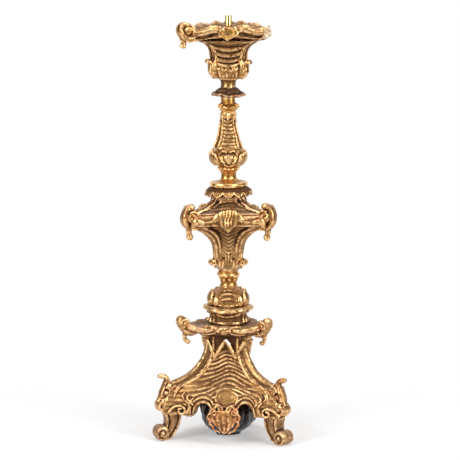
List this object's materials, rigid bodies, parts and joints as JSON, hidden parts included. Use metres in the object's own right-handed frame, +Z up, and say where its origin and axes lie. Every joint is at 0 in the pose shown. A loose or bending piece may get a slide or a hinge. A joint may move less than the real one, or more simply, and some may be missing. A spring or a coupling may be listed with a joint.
{
  "type": "torchere candle stand",
  "caption": "Three-sided carved giltwood torchere on scroll feet, with a flared pedestal, a knop, a baluster stem, and a cornered tray with a brass tube.",
  "frame": {"origin": "centre of the stand on the floor, on the axis of the stem, in the plane under the three feet", "axes": "+Z up along the stem, +Y towards the rear corner, -Y towards the front face, +X to the right as seen from the front"},
  "size_m": [0.2172, 0.2094, 0.65],
  "materials": {
    "giltwood": "carved wood with worn, burnished gold leaf over red-brown bole",
    "worn_giltwood": "carved wood with gold leaf rubbed through to dark bole and grime",
    "bare_wood": "plain turned wood, hidden in the joints",
    "brass": "polished drawn tube",
    "bag_cloth": "dark, slightly shiny soft wrapping"
  },
  "bodies": {
    "root": {"foot_front_left": "giltwood", "foot_front_right": "giltwood", "foot_rear": "giltwood", "base_core": "giltwood", "console_front_left": "giltwood", "console_front_right": "giltwood", "console_rear": "giltwood", "knee_scroll_front_left": "giltwood", "knee_scroll_front_right": "giltwood", "knee_scroll_rear": "giltwood", "apron_front": "giltwood", "apron_right": "giltwood", "apron_left": "giltwood", "apron_shell_front": "worn_giltwood", "apron_shell_right": "worn_giltwood", "apron_shell_left": "worn_giltwood", "lambrequins": "giltwood", "platform": "giltwood", "platform_scroll_front_left": "giltwood", "platform_scroll_front_right": "giltwood", "platform_scroll_rear": "giltwood", "socle": "giltwood", "lower_collar": "giltwood", "leaf_bulb": "giltwood", "ring_neck": "giltwood", "knop_body": "giltwood", "knop_volute_front_left": "giltwood", "knop_volute_front_right": "giltwood", "knop_volute_rear": "giltwood", "knop_ear_front_left": "giltwood", "knop_ear_front_right": "giltwood", "knop_ear_rear": "giltwood", "cartouche_front": "giltwood", "cartouche_right": "giltwood", "cartouche_left": "giltwood", "knop_roof": "giltwood", "scalloped_collar": "worn_giltwood", "turned_disc": "giltwood", "stem_neck": "giltwood", "leaf_cup": "giltwood", "baluster": "giltwood", "astragal": "giltwood", "small_collar": "worn_giltwood", "cup": "giltwood", "cup_scroll_front_left": "giltwood", "cup_scroll_front_right": "giltwood", "cup_scroll_rear": "giltwood", "tray": "worn_giltwood", "tray_ear_front_left": "giltwood", "tray_ear_front_right": "giltwood", "tray_ear_rear": "giltwood", "rim_tongue_front": "giltwood", "rim_tongue_right": "giltwood", "rim_tongue_left": "giltwood", "brass_tube": "brass", "dowels": "bare_wood", "ballast_bag": "bag_cloth"}
  },
  "joints": []
}
